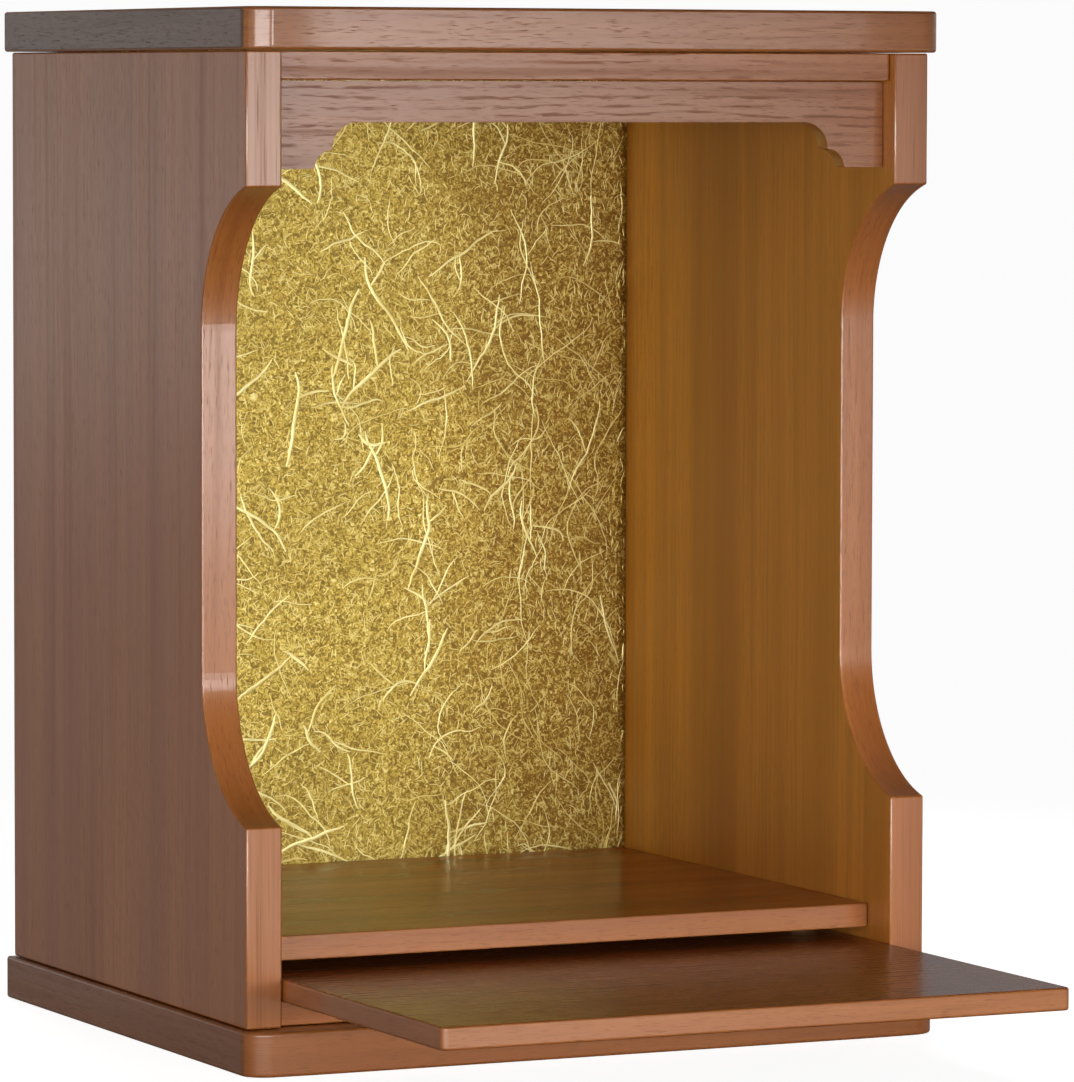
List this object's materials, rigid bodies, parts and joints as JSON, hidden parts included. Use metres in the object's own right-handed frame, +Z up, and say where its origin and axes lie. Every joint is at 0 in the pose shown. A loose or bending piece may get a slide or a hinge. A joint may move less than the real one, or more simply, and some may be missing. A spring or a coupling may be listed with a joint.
{
  "type": "household altar cabinet",
  "caption": "Open-fronted wooden altar cabinet with scalloped side panels, a shaped valance, a gold-papered back and a tray that slides out under its floor board.",
  "frame": {"origin": "the middle of the base board's underside, on the surface that the cabinet stands on", "axes": "+Z up, -Y towards the open front, +X towards the right side panel seen from the front"},
  "size_m": [0.3114, 0.4085, 0.424],
  "materials": {
    "carcase_wood": "satin lacquer over walnut-brown veneer with fine straight grain",
    "floor_wood": "semi-gloss lacquer over brown veneer, grain from side to side",
    "tray_wood": "gloss lacquer over brown veneer, grain from side to side",
    "hidden_wood": "plain unlacquered wood",
    "gold_paper": "gold paper with pale raised fibres, glued on a thin board"
  },
  "bodies": {
    "cabinet": {"base_board": "carcase_wood", "top_board": "carcase_wood", "left_side_panel": "carcase_wood", "right_side_panel": "carcase_wood", "header_rail": "carcase_wood", "valance": "carcase_wood", "lower_rail": "carcase_wood", "floor_board": "floor_wood", "left_tray_runner": "hidden_wood", "right_tray_runner": "hidden_wood", "left_tray_kicker": "hidden_wood", "right_tray_kicker": "hidden_wood", "back_panel": "hidden_wood", "gold_back_board": "gold_paper"},
    "tray": {"tray": "tray_wood"}
  },
  "joints": [
    {"name": "tray_slide", "type": "slide", "parent": "cabinet", "child": "tray", "axis": [0, -1, 0], "range_m": [-0.151, 0]}
  ]
}
